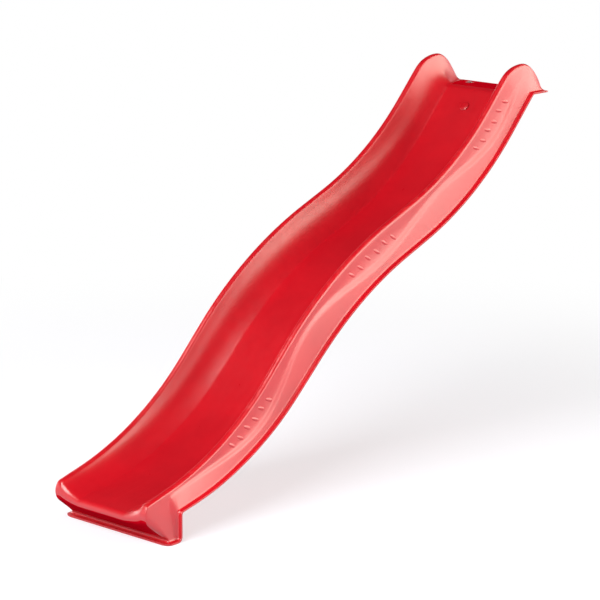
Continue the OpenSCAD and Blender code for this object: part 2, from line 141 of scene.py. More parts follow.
def bedAt(s):  # point and slope of the bed at a distance from the nose
    p, a = rollC + c.noseR * square(c.exitSlope), c.exitSlope
    for length, a0, a1 in bedPath:
        part = min(s, length)
        a = mix(a0, a1, part / length)
        p = p + part * ahead(a0) if a0 == a1 else arcTo(p, length / math.radians(abs(a1 - a0)), a0, a)
        s -= part
        if s <= 0:
            break
    return p, a


def rimRise(s):
    return mix(c.noseRimH, c.wallH, sinD(90 * min(1, s / c.rimRiseL)))


def lipFall(s):
    return mix(c.exitLipDrop, c.lipDrop, ease((s - runOutEnd / 2) / (runOutEnd - c.exitL)))


def swageLine(s):  # share of the skirt's height at which the long wave line runs
    return mix(c.swageHigh, c.swageLow, 0.5 + 0.5 * cosD(360 * (s - c.swageStart) / c.swagePitch))


def swage(t, s):  # the skirt is drawn in above the wave line and stands out a little below it
    fade = ease((s - c.exitL / 2) / c.swageRun) * ease((bedL + c.swageRun / 2 - s) / c.swageRun)
    return c.swageH * sinD(180 * t) * (ease((t - swageLine(s)) / c.swageSoft / 2 + 0.5) - c.drawnIn) * fade


Station = namedtuple("Station", "bed slope rim lip lipSlope s fillet")


def slopeStation(s):
    p, a = bedAt(s)
    return Station(p, a, rimRise(s), p - lipFall(s) * square(a), a, s, c.lipFilletR)


# top: the lip climbs straight on until it is level with the flange, and the ears fade out over it
topBed, topA = bedAt(bedL)
topLip = topBed - lipFall(bedL) * square(topA)
kneeR = c.topR / 3
kneeCut = kneeR * math.tan(math.radians(topA / 2))
knee0 = topLip + ((flangeZ - topLip.y) / sinD(topA) - kneeCut) * ahead(topA)
knee1 = arcTo(knee0, kneeR, topA, 0)
flangeStart = arcTo(topBed, c.topR, topA, 0)
flangeEnd = Vector((flangeStart.x + c.flangeD, flangeZ))


def earRise(t):
    return c.earH * max(0, cosD(90 * t)) ** c.earBlunt


def topStations(flangeN=8, bendN=7, kneeN=3):
    made = []
    for i in range(flangeN, 0, -1):
        t = sinD(90 * i / flangeN)
        fillet = c.lipFilletR * ease(c.lipFade * earRise(t) / c.earH)
        lip = mix(knee1, flangeEnd, (i - 1) / (flangeN - 1))
        made.append(Station(mix(flangeStart, flangeEnd, t), 0, earRise(t), lip, 0,
                            bedL + c.topR + t * c.flangeD, fillet))
    for i in range(bendN):
        u = i / bendN
        a = topA * u
        turned = min(1, (i + 1) / kneeN)  # the lip rounds its knee first, then runs straight
        lip = arcTo(knee0, kneeR, topA, topA * turned)
        if i >= kneeN:
            lip = mix(knee0, topLip, (i + 1 - kneeN) / (bendN + 1 - kneeN))
        rim = mix(earRise(0), rimRise(bedL), ease(u))
        made.append(Station(arcTo(topBed, c.topR, topA, a), a, rim, lip, topA * turned,
                            bedL + arcL(c.topR, 0, topA - a), c.lipFilletR))
    return made


# foot: the lip turns down the heel, round it and forward along the ground
heelY = c.footL / 2 - lipT
cornerY = c.cornerL - c.footL / 2
footY = heelY + 2 * c.footBendR + c.heelRun
footA = math.degrees(math.asin(sinD(c.exitSlope) + (footY - bedAt(c.exitL)[0].x) / c.exitR))
footS = c.exitL + arcL(c.exitR, c.exitSlope, footA)


def footStations(turnN=4, groundN=3):
    start = slopeStation(footS).lip
    kneeP = start + (heelY - start.x) / cosD(footA) * ahead(footA)
    down = kneeP - Vector((0, c.footBendR * math.tan(math.radians(45 - footA / 2))))
    heelC = Vector((heelY - c.heelR, lipT + c.heelR))
    lips = [(start, footA)]
    for i in range(turnN + 1):
        a = mix(footA, 90, i / turnN)
        lips.append((arcTo(down, c.footBendR, 90, a), a))
    for i in range(turnN + 1):
        a = mix(90, 0, i / turnN)
        lips.append((heelC + c.heelR * Vector((sinD(a), -cosD(a))), a))
    for i in range(groundN):
        lips.append((Vector((mix(heelC.x, cornerY, (i + 1) / groundN), lipT)), 0))
    made = []
    for i, (lip, lipA) in enumerate(lips):
        s = footS * (1 - i / (len(lips) - 1))
        p, a = bedAt(s)
        made.append(Station(p, a, rimRise(s), lip, lipA, s, c.lipFilletR))
    return made


slopeN = math.ceil((bedL - footS) / c.rowStep)
slopeStations = [slopeStation(mix(bedL, footS, i / slopeN)) for i in range(slopeN)]
stations = topStations() + slopeStations + footStations()

# half cross-section from the middle of the bed out to the outer shoulder of the rim: (x, height)
bedN, edgeN, wallN, rimN = 5, 4, 9, 10
rimC = Vector((c.rimW / 2, c.wallH - c.rimR))
footTurn = Vector((sinD(c.wallFootSlope), 1 - cosD(c.wallFootSlope)))
wallFoot = Vector((c.bedW / 2, 0)) + c.bedEdgeR * footTurn
wallTop = rimC + c.rimR * square(c.wallSlope)
pull = c.wallPull * (wallTop - wallFoot).length
wallLow = wallFoot + pull * ahead(c.wallFootSlope)
wallHigh = wallTop - pull * ahead(c.wallSlope)
section = [Vector((c.bedW / 2 * i / bedN, 0)) for i in range(bedN + 1)]
for i in range(edgeN):
    a = c.wallFootSlope * (i + 1) / edgeN
    section.append(Vector((c.bedW / 2 + c.bedEdgeR * sinD(a), c.bedEdgeR * (1 - cosD(a)))))
for i in range(1, wallN):
    t = i / wallN
    section.append((1 - t) ** 3 * wallFoot + 3 * t * (1 - t) ** 2 * wallLow
                   + 3 * t * t * (1 - t) * wallHigh + t ** 3 * wallTop)
for i in range(rimN + 1):
    a = mix(-c.wallSlope, c.rimTurn, i / rimN)
    section.append(rimC + c.rimR * Vector((sinD(a), cosD(a))))
inN = len(section) - 1
skirtN, rollN, lipFilletN, lipN = 14, 8, 4, 3
aboveN, lineN = 3, 4  # columns of the skirt above the wave line and across it
outN = skirtN + lipFilletN + lipN
halfN = inN + outN
edgeX = c.skirtW / 2 + c.lipW


def sectionX(k, s):  # the bed widens through the hollow and on the flange, and the walls take this up
    widening = (c.topBedW - c.bedW) / 2 * ease(1 - (hollowEnd - s) / bedPath[5][0])
    widening += (c.flangeBedW - c.topBedW) / 2 * ease((s - bedL) / (c.topR + c.flangeD))
    share = min(1, 2 * section[k].x / c.bedW) * max(0, 1 - section[k].y / wallTop.y) ** 2
    return section[k].x + widening * share


def rimPoint(station, k):
    q = station.bed + station.rim * section[k].y / c.wallH * square(station.slope)
    return Vector((sectionX(k, station.s), q.x, q.y))


def lipPoint(station, x, up):
    q = station.lip + up * square(station.lipSlope)
    return Vector((x, q.x, q.y))


def skirtPoint(station, t):
    top, foot = rimPoint(station, inN), lipPoint(station, c.skirtW / 2, station.fillet)
    return top.lerp(foot, t) + Vector((swage(t, station.s), 0, 0))


def skirtShare(j, s):  # columns crowd along the wave line, and match the rows of the front at the nose
    line, soft = swageLine(s), c.swageSoft
    pastN = aboveN + lineN
    if j <= aboveN:
        share = (line - soft) * j / aboveN
    elif j <= pastN:
        share = line + soft * (2 * (j - aboveN) / lineN - 1)
    else:
        share = mix(line + soft, 1, (j - pastN) / (skirtN - pastN))
    rolled = rollShare * j / rollN if j <= rollN else mix(rollShare, 1, (j - rollN) / (skirtN - rollN))
    return mix(rolled, share, ease((s - c.exitL / 2) / c.swageRun))


def mainPoint(station, k):
    if k <= inN:
        return rimPoint(station, k)
    j = k - inN
    if j <= skirtN:
        return skirtPoint(station, skirtShare(j, station.s))
    if j <= skirtN + lipFilletN:
        a = 90 * (j - skirtN) / lipFilletN
        x = c.skirtW / 2 + c.lipFilletR * (1 - cosD(a))
        return lipPoint(station, x, station.fillet * (1 - sinD(a)))
    x = mix(c.skirtW / 2 + c.lipFilletR, edgeX, (j - skirtN - lipFilletN) / lipN)
    return lipPoint(station, x, 0)


# nose and front: rows roll under the nose, run straight back to the foot and out to the front lip
frontC = Vector((c.lipW - c.footL / 2 - c.lipFilletR, lipT + c.lipFilletR))
recessP = frontC + Vector((c.lipFilletR, 0))
reach = rollC - recessP
rollA = math.degrees(math.atan2(reach.y, reach.x) + math.asin(c.noseR / reach.length))
rollEnd = rollC + c.noseR * square(rollA)
rollL = arcL(c.noseR, c.exitSlope, rollA)
rollShare = rollL / (rollL + (rollEnd - recessP).length)


def frontProfile():  # point and rim height, from the nose to the front edge
    made = []
    for i in range(1, rollN + 1):
        a = mix(c.exitSlope, rollA, i / rollN)
        made.append((rollC + c.noseR * square(a), c.noseRimH * mix(1, c.browEnd, i / rollN)))
    for i in range(1, skirtN - rollN + 1):
        t = i / (skirtN - rollN)
        made.append((rollEnd.lerp(recessP, t), c.noseRimH * c.browEnd * (1 - t)))
    for i in range(1, lipFilletN + 1):
        a = 90 * i / lipFilletN
        made.append((frontC + c.lipFilletR * Vector((cosD(a), -sinD(a))), 0))
    for i in range(1, lipN + 1):
        made.append((Vector((mix(frontC.x, -c.footL / 2, i / lipN), lipT)), 0))
    return made


frontRows = frontProfile()


def nosePoint(i, k):
    p, rim = frontRows[i - 1]
    q = p + rim * section[k].y / c.wallH * square(c.exitSlope)
    return Vector((section[k].x, q.x, q.y))


def frontPoint(i, k):  # skirt and front run into each other round the corners of the foot
    if k <= inN:
        return nosePoint(i, k)
    j = k - inN
    m = max(i, j)
    t = i / (i + j)
    side = mainPoint(stations[-1], inN + m)
    front = nosePoint(m, inN)
    corner = Vector((side.x, front.y, (side.z + front.z) / 2))
    return (1 - t) ** 2 * side + 2 * t * (1 - t) * corner + t ** 2 * front


def mirrored(points):  # a row from its half: the far side first
    return [Vector((-p.x, p.y, p.z)) for p in reversed(points[1:])] + points


def addPiece(name, data):
    piece = bpy.data.objects.new(name, data)
    bpy.context.scene.collection.objects.link(piece)
    return piece


def gridMesh(name, rows, facesUp=True, values=None):
    mesh = bpy.data.meshes.new(name)
    width = len(rows[0])
    corners = [p * mm for row in rows for p in row]
    quads = []
    for r in range(len(rows) - 1):
        for k in range(width - 1):
            near, far = r * width + k, (r + 1) * width + k
            quad = (near, far, far + 1, near + 1)
            quads.append(quad if facesUp else quad[::-1])
    mesh.from_pydata(corners, [], quads)
    for key, numbers in (values or {}).items():
        mesh.attributes.new(key, "FLOAT", "POINT").data.foreach_set("value", numbers)
    mesh.shade_smooth()
    return addPiece(name, mesh)


def settle(piece, sharp=35):  # bakes the modifiers into the mesh
    graph = bpy.context.evaluated_depsgraph_get()
    mesh = bpy.data.meshes.new_from_object(piece.evaluated_get(graph))
    piece.modifiers.clear()
    old = piece.data
    piece.data = mesh
    bpy.data.meshes.remove(old)
    mesh.name = piece.name
    mesh.shade_smooth()
    mesh.set_sharp_from_angle(angle=math.radians(sharp))


def drills(name, cuts):  # cylinders that cut the holes: (place, axis, diameter, length)
    shape = bmesh.new()
    for place, axis, diameter, length in cuts:
        turn = Vector(axis).to_track_quat("Z", "Y").to_matrix().to_4x4()
        radius = diameter / 2 * mm
        bmesh.ops.create_cone(shape, cap_ends=True, segments=48, radius1=radius, radius2=radius,
                              depth=length * mm, matrix=Matrix.Translation(Vector(place) * mm) @ turn)
    mesh = bpy.data.meshes.new(name)
    shape.to_mesh(mesh)
    shape.free()
    return addPiece(name, mesh)


fittings = dict(  # holes for the eyelets and the jet's stem, and lengths of their cutters
    eyeletPitch=170, eyeletHole=10.8, eyeletCutL=40, stemHole=21.4, stemCutL=90,
)
jetBed = (bedAt(bedL)[0] + bedAt(hollowEnd)[0]) / 2
jetUp = square(c.topSlope)
eyeletY = (knee1.x + flangeEnd.x) / 2
holes = []
for side in (-1, 1):
    place = (side * fittings["eyeletPitch"] / 2, eyeletY, flangeZ - lipT / 2)
    holes.append((place, (0, 0, 1), fittings["eyeletHole"], fittings["eyeletCutL"]))
stemAxis = (0, jetUp.x, jetUp.y)
holes.append(((0, jetBed.x, jetBed.y), stemAxis, fittings["stemHole"], fittings["stemCutL"]))
holeCutter = drills("holeCutter", holes)


def addWall(piece, thickness, even):  # wall thickness, rounding and holes, then baked
    wall = piece.modifiers.new("wall", "SOLIDIFY")
    wall.thickness = thickness * mm
    wall.offset = -1
    wall.use_even_offset = even
    rounding = piece.modifiers.new("rounding", "SUBSURF")
    rounding.levels = rounding.render_levels = 1
    cut = piece.modifiers.new("holes", "BOOLEAN")
    cut.object = holeCutter
    cut.operation = "DIFFERENCE"
    cut.solver = "EXACT"
    settle(piece)


halves = [[mainPoint(st, k) for k in range(halfN + 1)] for st in stations]
halves += [[frontPoint(i, k) for k in range(halfN + 1)] for i in range(1, len(frontRows) + 1)]
rowS = [st.s for st in stations] + [-c.frontStep * i for i in range(1, len(frontRows) + 1)]
along, across, rub, crest, dullShade = [], [], [], [], []
for r, half in enumerate(halves):
    girth = [0.0]
    for k in range(halfN):
        girth.append(girth[-1] + (half[k + 1] - half[k]).length)
    for k in range(-halfN, halfN + 1):
        j = abs(k)
        along.append(rowS[r] * mm)
        across.append(math.copysign(girth[j], k) * mm)
        inside = j <= inN
        rub.append(ease(c.rubReach - girth[j] / (c.bedW / 2)) if inside else 0.0)  # trousers polish the bed
        crest.append(ease(1 - abs(j - inN + rimN / 2) / (rimN / 2)))  # top of the rolled rim
        # painted shade: rows under the nose and the flat of the flange get a skin without shine, which
        # darkens them as if in shade; on the flange it also stands for shoe scuffs
        underNose = inside and c.dullFrom < (r - len(stations) + 1) / rollN < skirtN / rollN
        onFlange = inside and rowS[r] > bedL + c.topR / 2 and section[j].y == 0
        dullShade.append(float(underNose or onFlange))
chuteShell = gridMesh("chuteShell", [mirrored(half) for half in halves],
                      values=dict(along=along, across=across, rub=rub, crest=crest, dullShade=dullShade))
addWall(chuteShell, c.skinT, even=True)
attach(chuteShell, "root")
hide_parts("chute_skin")
print("chute shell:", len(chuteShell.data.polygons), "faces")

# under pan: a shallow tray under the chute, with ribs that reach up to the bed
pan = dict(
    panH=6, panW=396, ribL=180, ribW=16, ribFlank=9, ribClear=0.3,
    bendParts=7,  # parts of each bend, of which every second one has a rib
    columns=(108, 136, 164), lipInsets=(22, 11, 5, 0), rowGap=4, toeRows=6,  # spacing of the mesh
)


def ribPlaces():
    starts = [footS] + [sum(stretch[0] for stretch in bedPath[:n]) for n in (3, 5)]
    ends = [runOutEnd] + [sum(stretch[0] for stretch in bedPath[:n]) for n in (4, 6)]
    marks = [bedL]
    for start, end in reversed(list(zip(starts, ends))):
        marks += [mix(start, end, i / pan["bendParts"]) for i in range(pan["bendParts"], -1, -1)]
    return [(marks[k] + marks[k + 1]) / 2 for k in range(2, len(marks) - 1, 2)]


ribs = ribPlaces()
ribEdge, panEdge = pan["ribL"] / 2, pan["panW"] / 2
panLevels = [((ribEdge - pan["ribFlank"]) * i / 3, 2) for i in range(4)]  # x and level: 0 lip, 1 pan, 2 rib
panLevels += [(x, 1) for x in (ribEdge, *pan["columns"], panEdge - 2 * pan["panH"], panEdge - pan["panH"])]
panLevels += [(x, 0) for x in (panEdge, *(edgeX - inset for inset in pan["lipInsets"]))]


def panRow(lip, a, panRise, ribRise, share=1.0):
    low = lip - lipT * square(a)
    points = []
    for x, level in panLevels:
        q = low + (0, panRise, ribRise)[level] * square(a)
        points.append(Vector((x * share, q.x, q.y)))
    return points


def panHalves():
    made = [panRow(st.lip, st.lipSlope, 0, 0) for st in topStations()]
    topHalf, baseHalf = pan["ribW"] / 2, pan["ribW"] / 2 + pan["ribFlank"]
    stops = [(mix(bedL, footS, i / slopeN), False) for i in range(slopeN + 1)]
    stops = [stop for stop in stops if min(abs(stop[0] - rib) for rib in ribs) > baseHalf + pan["rowGap"]]
    for rib in ribs:
        stops += [(rib + half, isTop) for half, isTop in (
            (baseHalf, False), (topHalf, True), (-topHalf, True), (-baseHalf, False))]
    for s, isTop in sorted(stops, reverse=True):
        st = slopeStation(s)
        ribRise = (st.bed - st.lip).length + c.weldClear - pan["ribClear"]
        made.append(panRow(st.lip, st.lipSlope, pan["panH"], ribRise if isTop else pan["panH"]))
    made += [panRow(st.lip, st.lipSlope, 0, 0) for st in footStations()[1:]]
    for i in range(1, pan["toeRows"] + 1):
        t = i / pan["toeRows"]
        y = mix(cornerY, -c.footL / 2, 1 - (1 - t) ** 2)
        made.append(panRow(Vector((y, lipT)), 0, 0, 0, mix(edgeX, section[inN].x, t * t) / edgeX))
    return made


underPan = gridMesh("underPan", [mirrored(half) for half in panHalves()], facesUp=False)
addWall(underPan, c.underT, even=False)
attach(underPan, "root")
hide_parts("under_skin")
bpy.data.objects.remove(holeCutter)
print("under pan:", len(underPan.data.polygons), "faces,", len(ribs), "ribs")

# skirt pips: low slanted ovals between the rim and each low stretch of the wave line
pips = dict(
    long=40, wide=15, slant=58, rise=2.4,
    sunk=0.6, root=1.2,  # how far the edge and the closing tip lie under the skirt's face
    flat=2.6, shoulder=1.3,  # powers that shape the dome
    pitch=43, lead=-35, each=3, lines=(0.32, 0.38), clear=0.2, topGap=30,
    rings=7, spokes=24, stepUp=5, stepDown=0.05,  # mesh, and small steps that give the skirt's directions
)


def pipPlaces():
    places = []
    for wave in range(int((bedL - c.swageStart) / c.swagePitch) + 1):
        low = c.swageStart + wave * c.swagePitch
        for i in range(-pips["each"], pips["each"] + 1):  # as many on each side of the low point
            s, t = low + pips["lead"] + i * pips["pitch"], pips["lines"][i % 2]
            if t + pips["clear"] < swageLine(s) and s < bedL - pips["topGap"]:
                places.append((s, t))
    return places


def pipMesh():
    shape = bmesh.new()
    for s, t in pipPlaces():
        st, up = slopeStation(s), slopeStation(s + pips["stepUp"])
        p = skirtPoint(st, t)
        alongDir = (skirtPoint(up, t) - p).normalized()
        downDir = (skirtPoint(st, t + pips["stepDown"]) - p).normalized()
        out = downDir.cross(alongDir).normalized()
        out = out if out.x > 0 else -out
        longDir = cosD(pips["slant"]) * alongDir + sinD(pips["slant"]) * downDir
        wideDir = out.cross(longDir)
        for side in (1, -1):
            rings = []
            for n in range(pips["rings"] + 1):
                share = n / pips["rings"]
                domed = (1 - share ** pips["flat"]) ** pips["shoulder"]
                rise = (pips["rise"] + pips["sunk"]) * domed - pips["sunk"]
                ring = []
                for k in range(pips["spokes"] if n else 1):
                    a = 360 * k / pips["spokes"]
                    oval = pips["long"] * cosD(a) * longDir + pips["wide"] * sinD(a) * wideDir
                    q = p + out * rise + share / 2 * oval
                    ring.append(shape.verts.new(Vector((side * q.x, q.y, q.z)) * mm))
                rings.append(ring)
            under = p - pips["root"] * out
            base = shape.verts.new(Vector((side * under.x, under.y, under.z)) * mm)
            for k in range(pips["spokes"]):
                after = (k + 1) % pips["spokes"]
                shape.faces.new((rings[0][0], rings[1][k], rings[1][after]))
                for n in range(1, pips["rings"]):
                    shape.faces.new((rings[n][k], rings[n + 1][k], rings[n + 1][after], rings[n][after]))
                shape.faces.new((rings[-1][k], base, rings[-1][after]))
    bmesh.ops.recalc_face_normals(shape, faces=shape.faces)
    mesh = bpy.data.meshes.new("skirtPips")
    shape.to_mesh(mesh)
    shape.free()
    mesh.shade_smooth()
    return mesh


skirtPips = addPiece("skirtPips", pipMesh())
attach(skirtPips, "root")
print("skirt pips:", 2 * len(pipPlaces()))


def linear(code):  # sRGB hex to linear
    parts = [int(code[i:i + 2], 16) / 255 for i in (1, 3, 5)]
    return tuple(v / 12.92 if v <= 0.04045 else ((v + 0.055) / 1.055) ** 2.4 for v in parts) + (1.0,)


def addNode(tree, kind, wires=None, **settings):
    node = tree.nodes.new("ShaderNode" + kind)
    for key, value in settings.items():
        setattr(node, key, value)
    for socket, value in (wires or {}).items():
        if isinstance(value, bpy.types.NodeSocket):
            tree.links.new(value, node.inputs[socket])
        else:
            node.inputs[socket].default_value = value
    return node


def startMaterial(name):
    material = bpy.data.materials.new(name)
    material.use_nodes = True
    material.node_tree.nodes.clear()
    return material, material.node_tree


def finishMaterial(tree, wires):
    shader = addNode(tree, "BsdfPrincipled", wires)
    addNode(tree, "OutputMaterial", {"Surface": shader.outputs["BSDF"]})


def dress(piece, material):
    piece.data.materials.clear()
    piece.data.materials.append(material)


# high-density polyethylene, blow-moulded: satin gloss over a faint orange peel, pigment all through
polyethylene = dict(
    red="#C5071B", deep="#BA0418", chalk="#E4524E",  # pigment, thicker flow of it, and rubbed rims
    ior=1.51, shine=1.0, rough=0.31, smoother=0.03, rougher=0.04,
    polish=0.01, hairRough=0.06, chalkRough=0.4,  # change of roughness where slid on, scratched and chalky
    flow=160, patch=30, peel=22, peelRise=0.04,  # mm
    grain=7, grainRise=0.006,  # mm; real grain is about 0.6, too fine to show
    hair=7, hairL=380, hairRise=0.003,  # mm; real hairlines are about 0.1 wide, too fine to show
)


def mouldedPolyethylene(name, look):
    material, tree = startMaterial(name)
    place = addNode(tree, "TexCoord").outputs["Object"]
    flow = addNode(tree, "TexNoise", {"Vector": place, "Scale": 1 / (look["flow"] * mm), "Detail": 3.0,
                                      "Roughness": 0.55})
    flowShare = addNode(tree, "MapRange", {"Value": flow.outputs["Fac"], "From Min": 0.35, "From Max": 0.68})
    pigment = addNode(tree, "Mix", {0: flowShare.outputs["Result"], 6: linear(look["red"]),
                                    7: linear(look["deep"])}, data_type="RGBA")
    # rubbed rims: chalky patches on the crest only
    crestMark = addNode(tree, "Attribute", attribute_name="crest").outputs["Fac"]
    patch = addNode(tree, "TexNoise", {"Vector": place, "Scale": 1 / (look["patch"] * mm), "Detail": 5.0,
                                       "Roughness": 0.7})
    patchShare = addNode(tree, "MapRange", {"Value": patch.outputs["Fac"], "From Min": 0.5, "From Max": 0.75,
                                            "To Max": 0.3})
    chalkShare = addNode(tree, "Math", {0: crestMark, 1: patchShare.outputs["Result"]}, operation="MULTIPLY")
    colour = addNode(tree, "Mix", {0: chalkShare.outputs["Value"], 6: pigment.outputs[2],
                                   7: linear(look["chalk"])}, data_type="RGBA")
    # hairlines down the bed, where people slide
    rubMark = addNode(tree, "Attribute", attribute_name="rub").outputs["Fac"]
    downhill = addNode(tree, "Attribute", attribute_name="along").outputs["Fac"]
    sideways = addNode(tree, "Attribute", attribute_name="across").outputs["Fac"]
    lineX = addNode(tree, "Math", {0: sideways, 1: 1 / (look["hair"] * mm)}, operation="MULTIPLY")
    lineY = addNode(tree, "Math", {0: downhill, 1: 1 / (look["hairL"] * mm)}, operation="MULTIPLY")
    lineXY = addNode(tree, "CombineXYZ", {"X": lineX.outputs["Value"], "Y": lineY.outputs["Value"]})
    hairs = addNode(tree, "TexNoise", {"Vector": lineXY.outputs["Vector"], "Scale": 1.0, "Detail": 1.0,
                                       "Roughness": 0.5})
    hairShare = addNode(tree, "MapRange", {"Value": hairs.outputs["Fac"], "From Min": 0.4, "From Max": 0.7})
    hairOnBed = addNode(tree, "Math", {0: hairShare.outputs["Result"], 1: rubMark}, operation="MULTIPLY")
    # roughness: satin, a little smoother where it is slid on, a little duller on chalk and hairlines
    gloss = addNode(tree, "MapRange", {"Value": patch.outputs["Fac"], "From Min": 0.3, "From Max": 0.7,
                                       "To Min": look["rough"] - look["smoother"],
                                       "To Max": look["rough"] + look["rougher"]})
    polished = addNode(tree, "Math", {0: rubMark, 1: -look["polish"], 2: gloss.outputs["Result"]},
                       operation="MULTIPLY_ADD")
    dulled = addNode(tree, "Math", {0: hairOnBed.outputs["Value"], 1: look["hairRough"],
                                    2: polished.outputs["Value"]}, operation="MULTIPLY_ADD")
    rough = addNode(tree, "Math", {0: chalkShare.outputs["Value"], 1: look["chalkRough"],
                                   2: dulled.outputs["Value"]}, operation="MULTIPLY_ADD")
    # relief: orange peel, moulded grain, then the hairlines
    peel = addNode(tree, "TexNoise", {"Vector": place, "Scale": 1 / (look["peel"] * mm), "Detail": 1.0})
    peelBump = addNode(tree, "Bump", {"Height": peel.outputs["Fac"], "Strength": 1.0,
                                      "Distance": look["peelRise"] * mm})
    grain = addNode(tree, "TexNoise", {"Vector": place, "Scale": 1 / (look["grain"] * mm), "Detail": 2.0})
    grainBump = addNode(tree, "Bump", {"Height": grain.outputs["Fac"], "Strength": 1.0,
                                       "Distance": look["grainRise"] * mm,
                                       "Normal": peelBump.outputs["Normal"]})
    hairBump = addNode(tree, "Bump", {"Height": hairOnBed.outputs["Value"], "Strength": 1.0,
                                      "Distance": look["hairRise"] * mm,
                                      "Normal": grainBump.outputs["Normal"]}, invert=True)
    finishMaterial(tree, {"Base Color": colour.outputs[2], "Roughness": rough.outputs["Value"],
                          "IOR": look["ior"], "Specular IOR Level": look["shine"],
                          "Normal": hairBump.outputs["Normal"]})
    return material


redShell = mouldedPolyethylene("polyethylene moulded red", polyethylene)
for piece in (chuteShell, underPan, skirtPips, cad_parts["jet"]):
    dress(piece, redShell)
# painted shade: the skin under the nose is given no shine, so that it reads dark as if in shade, and on the
# flange the same dull skin stands for shade and shoe scuffs together
redDullShade = mouldedPolyethylene("polyethylene moulded red dull", polyethylene | dict(shine=0.0, rough=0.6))
chuteShell.data.materials.append(redDullShade)
isDullShade = [mark.value > 0.5 for mark in chuteShell.data.attributes["dullShade"].data]
for face in chuteShell.data.polygons:
    face.material_index = int(all(isDullShade[v] for v in face.vertices))

# stainless steel, turned: fine rings round the bore and a cool mid-grey shine
stainless = dict(
    grey="#BDBBB6", dark="#8F8D88", rough=0.3, smoother=0.06, rougher=0.1,
    smear=3, turn=0.9, turnRise=0.01,  # mm; real turning marks are about 0.2 apart, too fine to show
)


def turnedStainless(name, look, middle):
    material, tree = startMaterial(name)
    place = addNode(tree, "TexCoord").outputs["Object"]
    fromAxis = addNode(tree, "VectorMath", {0: place, 1: tuple(-v for v in middle)}, operation="ADD")
    rings = addNode(tree, "TexWave", {"Vector": fromAxis.outputs["Vector"], "Distortion": 0.6, "Detail": 2.0,
                                      "Scale": 0.1 / (look["turn"] * mm)},
                    wave_type="RINGS", rings_direction="Z")
    smear = addNode(tree, "TexNoise", {"Vector": place, "Scale": 1 / (look["smear"] * mm), "Detail": 4.0})
    smearShare = addNode(tree, "MapRange", {"Value": smear.outputs["Fac"], "From Min": 0.35, "From Max": 0.7})
    colour = addNode(tree, "Mix", {0: smearShare.outputs["Result"], 6: linear(look["grey"]),
                                   7: linear(look["dark"])}, data_type="RGBA")
    rough = addNode(tree, "MapRange", {"Value": smear.outputs["Fac"],
                                       "To Min": look["rough"] - look["smoother"],
                                       "To Max": look["rough"] + look["rougher"]})
    bump = addNode(tree, "Bump", {"Height": rings.outputs["Fac"], "Distance": look["turnRise"] * mm})
    finishMaterial(tree, {"Base Color": colour.outputs[2], "Metallic": 1.0,
                          "Roughness": rough.outputs["Result"], "Normal": bump.outputs["Normal"]})
    return material


for key in ("eyelet_left", "eyelet_right"):
    low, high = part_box(key)
    steel = turnedStainless("stainless steel turned " + key, stainless, (low + high) / 2)
    dress(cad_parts[key], steel)

# glass-filled nylon, injection-moulded: dark grey, dull, with a fine spark-eroded grain
nylon = dict(
    grey="#2B2D30", pale="#3A3C40", ior=1.5, rough=0.52, smoother=0.06, rougher=0.08,
    cloud=9, grain=0.8, grainRise=0.02,  # mm; real grain is about 0.2, too fine to show
)
# EPDM rubber, moulded: near black, soft and matt with a bloom of dust
rubber = dict(
    grey="#161617", pale="#2A2A2B", ior=1.5, rough=0.75, smoother=0.06, rougher=0.08,
    cloud=9, grain=0.5, grainRise=0.01,  # mm
)


def dullMoulding(name, look):
    material, tree = startMaterial(name)
    place = addNode(tree, "TexCoord").outputs["Object"]
    cloud = addNode(tree, "TexNoise", {"Vector": place, "Scale": 1 / (look["cloud"] * mm), "Detail": 5.0,
                                       "Roughness": 0.6})
    cloudShare = addNode(tree, "MapRange", {"Value": cloud.outputs["Fac"], "From Min": 0.4, "From Max": 0.75})
    colour = addNode(tree, "Mix", {0: cloudShare.outputs["Result"], 6: linear(look["grey"]),
                                   7: linear(look["pale"])}, data_type="RGBA")
    rough = addNode(tree, "MapRange", {"Value": cloud.outputs["Fac"],
                                       "To Min": look["rough"] - look["smoother"],
                                       "To Max": look["rough"] + look["rougher"]})
    grain = addNode(tree, "TexNoise", {"Vector": place, "Scale": 1 / (look["grain"] * mm), "Detail": 2.0})
    bump = addNode(tree, "Bump", {"Height": grain.outputs["Fac"], "Distance": look["grainRise"] * mm})
    finishMaterial(tree, {"Base Color": colour.outputs[2], "Roughness": rough.outputs["Result"],
                          "IOR": look["ior"], "Normal": bump.outputs["Normal"]})
    return material


greyNylon = dullMoulding("nylon moulded dark grey", nylon)
blackRubber = dullMoulding("EPDM rubber moulded", rubber)
for key in ("jet_spacer", "lock_nut", "hose_nipple"):
    dress(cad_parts[key], greyNylon)
for key in ("jet_seal", "lock_seal", "nipple_seal"):
    dress(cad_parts[key], blackRubber)
print("materials done")

# studio: pale floor, a dome that is white at the horizon and dim overhead, and four soft lamps
studio = dict(
    floorSize=80, floorPale="#B2B7C2", floorTooth=400, floorGlow=0.54,
    nearR=1.1, farR=3.2,  # the floor turns from shaded paper to plain white between these
    horizon=1.2, overhead=0.04, skyLow=0.08, skyHigh=0.42, aim=(0, 0.85, 0.55),
    # heading, height in degrees, distance, width and height in metres, radiance, colour
    sidePanel=(46, 19, 14.0, 14.4, 9.6, 4.6, "#FFEFDE"),
    frontLamp=(277, 37, 7.0, 5.4, 4.2, 9.0, "#FFFAF4"),
    lowLamp=(10, 14.5, 2.7, 1.5, 1.1, 2.5, "#FFF4EA"),
    fillLamp=(185, 4, 6.0, 6.0, 1.8, 4.0, "#FFFAF4"),
)


